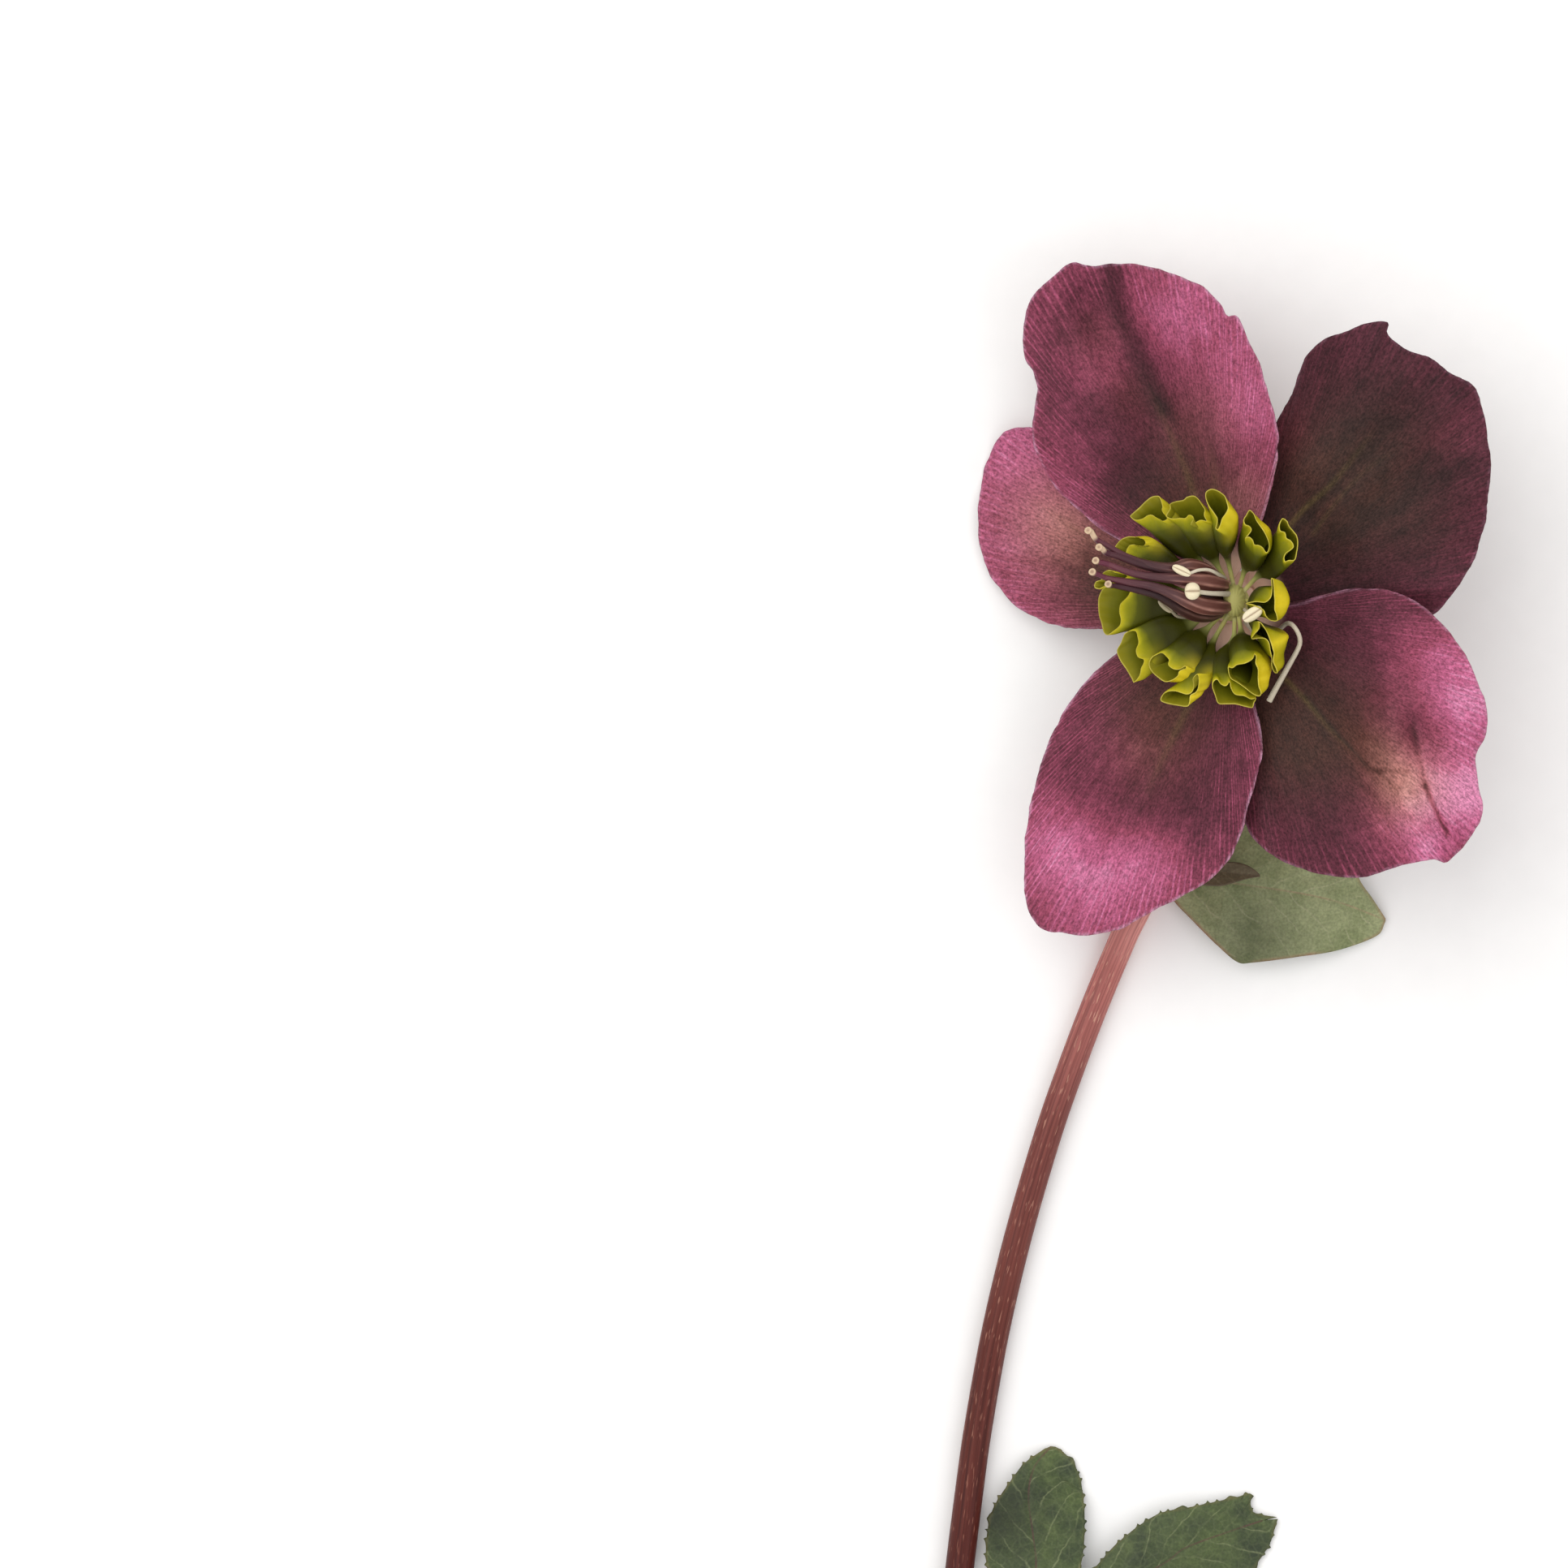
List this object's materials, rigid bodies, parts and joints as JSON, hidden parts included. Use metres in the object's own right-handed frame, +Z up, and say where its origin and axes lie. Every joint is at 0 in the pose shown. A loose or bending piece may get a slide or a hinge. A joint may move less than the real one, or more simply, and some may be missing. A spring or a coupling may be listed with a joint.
{
  "type": "hellebore flower",
  "caption": "Single cut hellebore bloom lying on its back, with broad overlapping sepals, a ring of nectaries, a bent stem, bracts and a toothed stem leaf.",
  "frame": {"origin": "middle of the bounding box in plan, on the floor that the flower lies on", "axes": "+Y from the cut foot of the stem towards the bloom, +Z up from the floor, out of the face of the bloom"},
  "size_m": [0.0666, 0.1716, 0.0319],
  "materials": {
    "sepal": "satin, finely veined",
    "nectary": "waxy",
    "follicle": "satin, ribbed",
    "stem": "satin with fine dashes",
    "bract_green": "satin, veined",
    "bract_dark": "satin",
    "leaf": "satin, veined"
  },
  "bodies": {
    "root": {"stem": "stem", "nectaries": "nectary", "follicles": "follicle", "sepal_top": "sepal", "sepal_upper_right": "sepal", "sepal_lower_right": "sepal", "sepal_bottom": "sepal", "sepal_left": "sepal", "bract_green": "bract_green", "bract_dark": "bract_dark", "stem_leaf": "leaf"}
  },
  "joints": []
}
